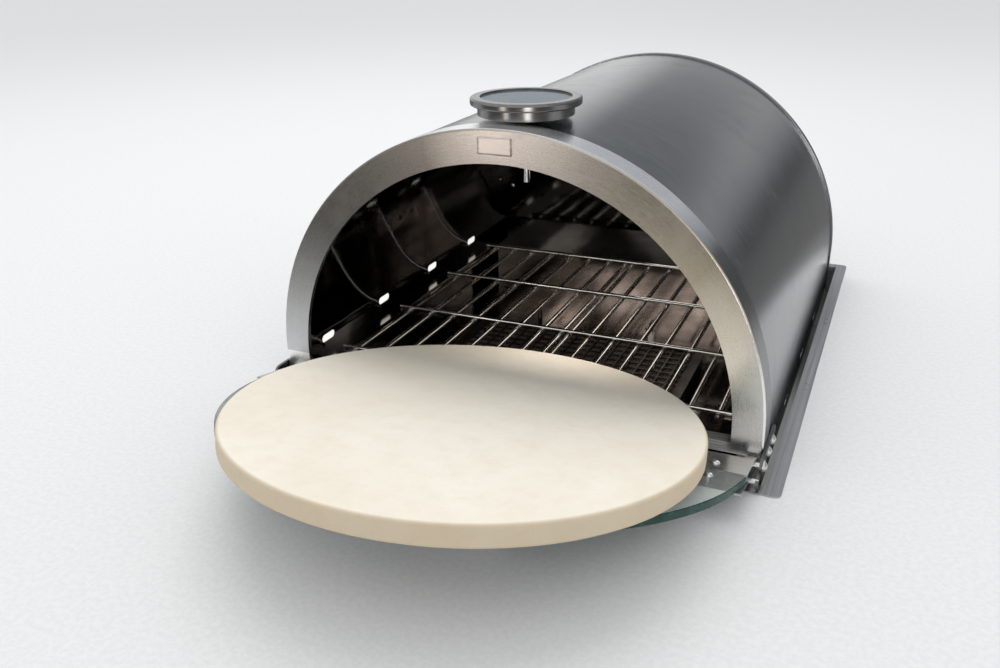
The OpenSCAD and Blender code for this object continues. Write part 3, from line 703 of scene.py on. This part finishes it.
# counter top around the tray, with the cut-out it drops into
def makeStage():
    counter = {"reach": 9.0, "cutX": 0.2165, "cutY": 0.2515, "thick": 0.04,
               "frontDim": (-0.58, -0.43), "backDim": ((0.27, 0.0), (0.36, 0.75), (0.50, 0.95)),
               "mirrored": rgb(0.135, 0.13, 0.125)}
    reach, cutX, cutY = counter["reach"], counter["cutX"], counter["cutY"]

    def build(shape):
        outer = [(-reach, -reach), (reach, -reach), (reach, reach), (-reach, reach)]
        inner = [(-cutX, -cutY), (cutX, -cutY), (cutX, cutY), (-cutX, cutY)]
        top = [shape.verts.new((x, y, 0)) for x, y in outer]
        edge = [shape.verts.new((x, y, 0)) for x, y in inner]
        under = [shape.verts.new((x, y, -counter["thick"])) for x, y in inner]
        for i in range(4):
            j = (i + 1) % 4
            shape.faces.new((top[i], top[j], edge[j], edge[i]))
            shape.faces.new((edge[i], edge[j], under[j], under[i]))

    mesh = meshOf("counterTop", build)
    floor = bpy.data.objects.new("counterTop", mesh)
    bpy.context.scene.collection.objects.link(floor)
    shader = Shader("paleCounter", Roughness=0.6, Specular_IOR_Level=0.2)
    place = shader.place()
    speck = shader.noise(place, 260.0, 3.0, 0.6)
    pale = shader.blend(shader.spread(speck, 0, 1, 0.4, 0.6),
                        rgb(0.72, 0.725, 0.73), rgb(0.76, 0.765, 0.77))
    # what the steel mirrors before and behind the oven is darker than the counter itself
    inGloss = shader.add("ShaderNodeLightPath", out="Is Glossy Ray")
    y = shader.axes(place)[1]
    before = shader.spread(y, 1.0, 0.0, *counter["frontDim"])
    behind = shader.ramp(y, *[(at, grey(level)) for at, level in counter["backDim"]])
    dim = inGloss * before.math("MAXIMUM", behind)
    shader.feed(Base_Color=shader.blend(dim, pale, counter["mirrored"]))
    mesh.materials.append(shader.material)
    print("stage made")


# the blank badge: the ring's steel with a slightly sunken border, a painted shadow along its lower
# and right edges, and darker corners
def badgeSteel(name, low, high):
    shader = Shader(name, Metallic=1.0)
    place = shader.place()
    x, y, z = shader.axes(place)
    middle = (low + high) / 2
    sideways = (x - middle.x) / ((high.x - low.x) / 2)
    upward = (z - middle.z) / ((high.z - low.z) / 2)
    hair = shader.noise(shader.vector(x * 30.0, y * 900.0, z * 1500.0), 1.0, 4.0, 0.65)
    stain = shader.noise(place, 260.0, 3.0, 0.6)
    edgeX = shader.spread(sideways.math("ABSOLUTE"), 0.0, 1.0, 0.90, 0.97)
    edgeZ = shader.spread(upward.math("ABSOLUTE"), 0.0, 1.0, 0.80, 0.95)
    border = edgeX.math("MAXIMUM", edgeZ)
    # painted shadow: the border darkens most along the lower and right edges
    shadowSide = shader.spread(upward - sideways * 0.5, 1.0, 0.35, -0.9, 0.6)
    corner = edgeX * edgeZ
    tone = shader.blend(shader.spread(hair, 0, 1, 0.3, 0.7),
                        rgb(0.60, 0.555, 0.52), rgb(0.76, 0.70, 0.66))
    edgeShadow = border * shadowSide * shader.spread(stain, 0.55, 1.0, 0.35, 0.6)
    tone = shader.blend(edgeShadow * 0.85, tone, rgb(0.14, 0.125, 0.115))
    # the corners are darkened further
    tone = shader.blend(corner * 0.8, tone, rgb(0.05, 0.045, 0.045))
    shader.feed(Base_Color=tone)
    shader.feed(Roughness=shader.spread(hair, 0.26, 0.42, 0.25, 0.75))
    shader.bump(1 - border, 0.0003, 0.6)
    return shader.material


# the surround isn't one plain light: it is white to the eye and even on matt things, while
# gloss mirrors a bright front, a dim grey back and a pale left side
skyLook = {
    "eye": rgb(0.93, 0.935, 0.94), "front": rgb(0.95, 0.93, 0.90), "left": rgb(0.95, 0.95, 0.94),
    "frontEdge": (-0.25, 0.1), "leftEdge": (-0.30, -0.17),
    "even": ((0.0, (0.70, 0.69, 0.68)), (0.4, (0.93, 0.95, 0.98)), (1.0, (1.0, 1.0, 1.0))),
    "back": (
        (0.0, (0.10, 0.103, 0.107)), (0.065, (0.10, 0.103, 0.107)), (0.10, (0.36, 0.373, 0.387)),
        (0.16, (0.52, 0.522, 0.524)), (0.20, (0.70, 0.695, 0.69)), (0.25, (0.32, 0.33, 0.345)),
        (0.36, (0.26, 0.27, 0.285)), (0.52, (0.50, 0.52, 0.55)), (1.0, (0.8, 0.82, 0.86)),
    ),
}


def makeSky(scene):
    scene.world = bpy.data.worlds.new("studio")
    scene.world.use_nodes = True
    sky = Shader.onTree(scene.world.node_tree)
    toEye = sky.add("ShaderNodeLightPath", out="Is Camera Ray")
    inGloss = sky.add("ShaderNodeLightPath", out="Is Glossy Ray")
    x, y, z = sky.axes(sky.add("ShaderNodeTexCoord", out="Generated"))
    leftSide = sky.spread(x.math("ARCTAN2", y), 1.0, 0.0, *skyLook["leftEdge"])
    behind = sky.blend(leftSide, sky.ramp(z, *skyLook["back"]), skyLook["left"])
    before = sky.spread(y, 1.0, 0.0, *skyLook["frontEdge"])
    gloss = sky.blend(before, behind, skyLook["front"])
    seen = sky.blend(inGloss, sky.ramp(z, *skyLook["even"]), gloss)
    seen = sky.blend(toEye, seen, skyLook["eye"])
    back = sky.add("ShaderNodeBackground", None, {"Color": seen, "Strength": 1.0})
    out = sky.tree.nodes.new("ShaderNodeOutputWorld")
    sky.tree.links.new(back.socket, out.inputs["Surface"])


# the cards and the strip show only in gloss; topSoft and mouthFill light only matt things
def makeLights():
    scene = bpy.context.scene
    makeSky(scene)
    lamps = [
        {"name": "topSoft", "at": (-0.5, 0.6, 2.2), "size": 1.8, "watts": 19,
         "tint": (1.0, 0.985, 0.96), "glossy": False, "matt": True},
        {"name": "warmCard", "at": (-0.42, -1.10, 0.10), "size": 0.18, "watts": 0.45,
         "tint": (1.0, 0.91, 0.84), "glossy": True, "matt": False},
        {"name": "gaugeCard", "at": (0.42, -1.05, 0.10), "size": 0.22, "watts": 1.1,
         "tint": (1.0, 0.94, 0.89), "glossy": True, "matt": False},
        {"name": "mouthFill", "at": (0.03, -0.16, 0.150), "size": 0.10, "watts": 0.21,
         "tint": (1.0, 0.90, 0.80), "glossy": False, "matt": True, "aim": (0.03, 0.06, 0.0)},
        {"name": "backStrip", "at": (0.04, 0.13, 0.135), "size": 0.08, "watts": 0.04,
         "tint": (1.0, 0.95, 0.90), "glossy": True, "matt": False, "aim": (0.04, -0.02, 0.0)},
    ]
    for lamp in lamps:
        target = Vector(lamp.get("aim", (0, -0.05, 0.08)))
        data = bpy.data.lights.new(lamp["name"], "AREA")
        data.size = lamp["size"]
        data.energy = lamp["watts"]
        data.color = lamp["tint"]
        light = bpy.data.objects.new(lamp["name"], data)
        light.location = lamp["at"]
        light.rotation_euler = (target - light.location).to_track_quat("-Z", "Y").to_euler()
        light.visible_glossy = lamp["glossy"]
        light.visible_diffuse = lamp["matt"]
        light.visible_camera = False
        scene.collection.objects.link(light)
    scene.view_settings.view_transform = "Standard"
    print("lights made:", len(lamps))


# stands front right and above; the view's own axes are given, so the roll is kept
def makeCamera():
    camera = {"lens": 33.17, "at": Vector((0.2686, -0.5971, 0.3507)),
              "right": Vector((0.915, 0.403, -0.017)), "up": Vector((-0.147, 0.372, 0.9165))}
    data = bpy.data.cameras.new("viewCamera")
    data.lens = camera["lens"]
    data.sensor_width = 36.0
    data.clip_start = 0.01
    piece = bpy.data.objects.new("viewCamera", data)
    right = camera["right"].normalized()
    up = (camera["up"] - right * camera["up"].dot(right)).normalized()
    back = right.cross(up)
    turned = Matrix((right, up, back)).transposed().to_4x4()
    piece.matrix_world = Matrix.Translation(camera["at"] + Vector((0, ringFace, ringFoot))) @ turned
    bpy.context.scene.collection.objects.link(piece)
    bpy.context.scene.camera = piece
    print("camera placed")


makeCamera()
finishFrame()
makeStone()
makeGlass()
makeStage()
makeLights()
